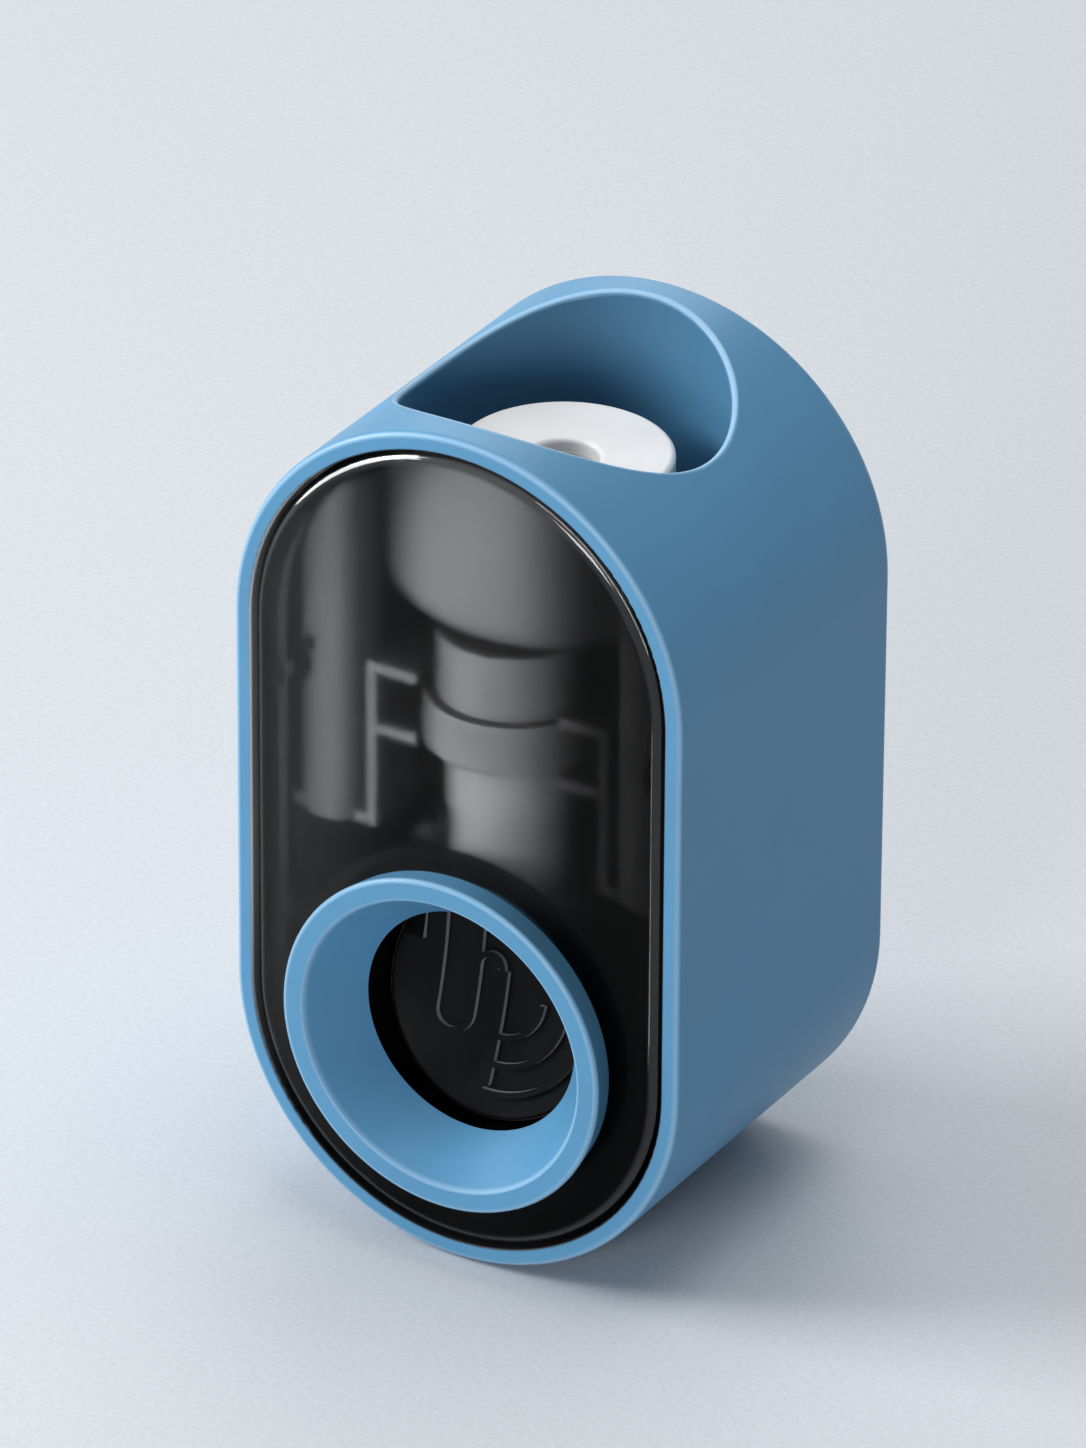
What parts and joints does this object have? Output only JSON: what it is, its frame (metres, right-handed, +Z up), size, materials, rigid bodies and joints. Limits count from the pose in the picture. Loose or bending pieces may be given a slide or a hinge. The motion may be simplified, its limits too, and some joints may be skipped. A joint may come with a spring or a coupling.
{
  "type": "toothpaste dispenser",
  "caption": "Upright rounded toothpaste dispenser: a tube stands head down in its top well, and a brush pushed into the front ring swings a flap that works a lift pump.",
  "frame": {"origin": "on the floor plane, under the middle of the whole object's bounding box", "axes": "+Z up, front panel and ring face -Y, wall side faces +Y, +X to the right seen from the front"},
  "size_m": [0.076, 0.065, 0.1364],
  "materials": {
    "case_blue": "satin",
    "smoked_panel": "polished",
    "black_matte": "matte",
    "black_gloss": "polished",
    "pump_grey": "satin",
    "socket_white": "satin",
    "silicone": "matte",
    "foot_rubber": "matte",
    "steel": "bright",
    "pad_foam": "matte"
  },
  "bodies": {
    "case": {"main_shell": "case_blue", "foot_strips": "foot_rubber", "brush_channel": "black_gloss", "channel_screws": "steel", "pivot_pins": "steel", "pump_head": "pump_grey", "collar_nut": "pump_grey", "inlet_valve": "silicone", "bellows": "silicone", "return_spring": "steel", "pump_bracket": "pump_grey", "bracket_screws": "steel", "rear_cover": "case_blue", "cover_screws": "steel"},
    "flap": {"press_flap": "black_gloss"},
    "nozzle_lifter": {"nozzle": "pump_grey", "outlet_valve": "silicone", "nozzle_cap": "pump_grey", "lift_yoke": "pump_grey"},
    "front_cover": {"front_panel": "smoked_panel", "panel_frame": "black_matte", "brush_ring": "case_blue", "ring_retainer": "black_matte"},
    "socket": {"tube_socket": "socket_white", "socket_seal": "silicone"},
    "hanger": {"wall_plate": "black_matte", "adhesive_pad": "pad_foam"}
  },
  "joints": [
    {"name": "flap_press", "type": "hinge", "parent": "case", "child": "flap", "pos_m": [0, -0.00945, 0.057], "axis": [1, 0, 0], "range_deg": [0, 38], "stiffness_Nm_per_rad": 0.06, "springref_deg": -17.19},
    {"name": "nozzle_lift", "type": "slide", "parent": "case", "child": "nozzle_lifter", "axis": [0, 0, 1], "range_m": [0, 0.00502], "deforming": ["bellows", "return_spring"]},
    {"name": "cover_pull", "type": "slide", "parent": "case", "child": "front_cover", "axis": [0, -1, 0], "range_m": [0, 0.04]},
    {"name": "socket_pull", "type": "slide", "parent": "case", "child": "socket", "axis": [0, 0, 1], "range_m": [0, 0.045]},
    {"name": "hanger_slide", "type": "slide", "parent": "case", "child": "hanger", "axis": [0, 0, -1], "range_m": [0, 0.009]}
  ],
  "couplings": [
    {"joint": "nozzle_lift", "follows": "flap_press", "m_per_rad": 0.0075597}
  ]
}
